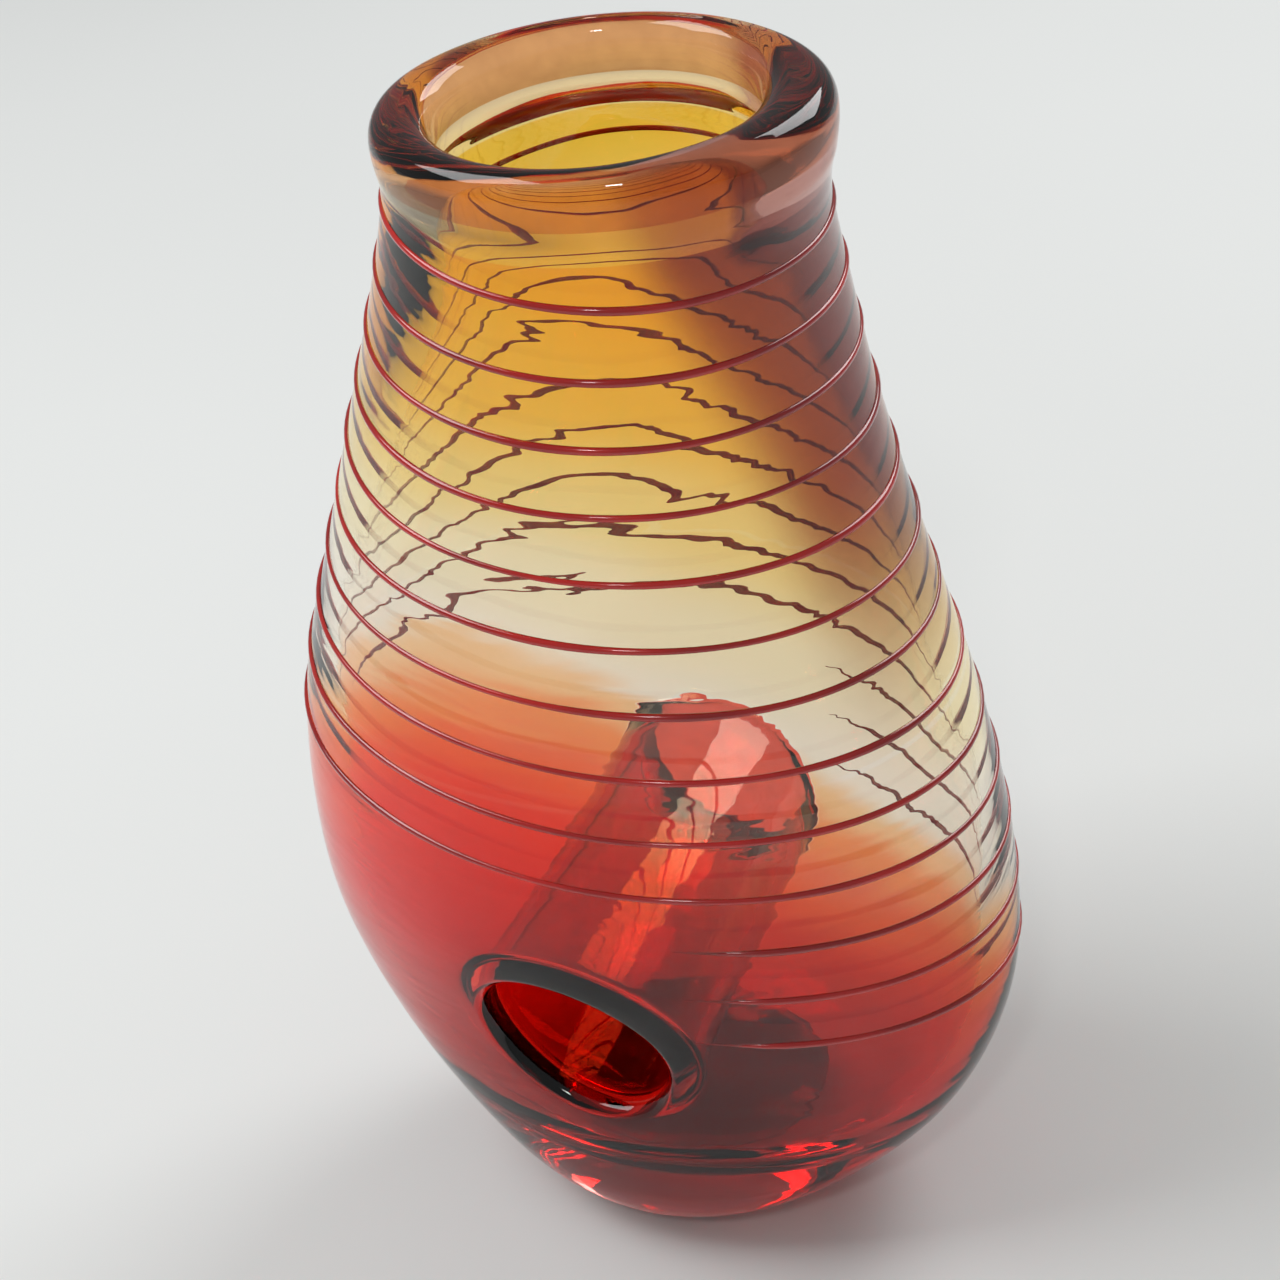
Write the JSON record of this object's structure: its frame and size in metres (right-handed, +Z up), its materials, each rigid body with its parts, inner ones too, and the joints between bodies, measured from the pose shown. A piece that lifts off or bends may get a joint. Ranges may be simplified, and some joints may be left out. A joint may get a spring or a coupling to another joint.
{
  "type": "art glass vase",
  "caption": "Tall oval blown glass vase with a thick rounded lip, a spiral thread and a hole pierced through its lower body; it holds stems and stands on a flat foot.",
  "frame": {"origin": "middle of the ground face under the foot, on the surface that the vase stands on", "axes": "+Z up to the lip, the wide front faces -Y, the tunnel runs along Y, +X to the right of the front"},
  "size_m": [0.1759, 0.1223, 0.29],
  "materials": {
    "clear_glass": "gloss",
    "amber_glass": "gloss",
    "ruby_glass": "gloss",
    "lip_glass": "gloss",
    "foot_glass": "satin",
    "thread_glass": "gloss"
  },
  "bodies": {
    "root": {"inner_gather": "clear_glass", "amber_overlay": "amber_glass", "ruby_overlay": "ruby_glass", "clear_casing": "clear_glass", "tunnel_lining": "ruby_glass", "mouth_lip": "lip_glass", "foot_pad": "foot_glass", "spiral_thread": "thread_glass", "thread_end_1": "thread_glass", "thread_end_2": "thread_glass", "thread_end_3": "thread_glass"}
  },
  "joints": []
}
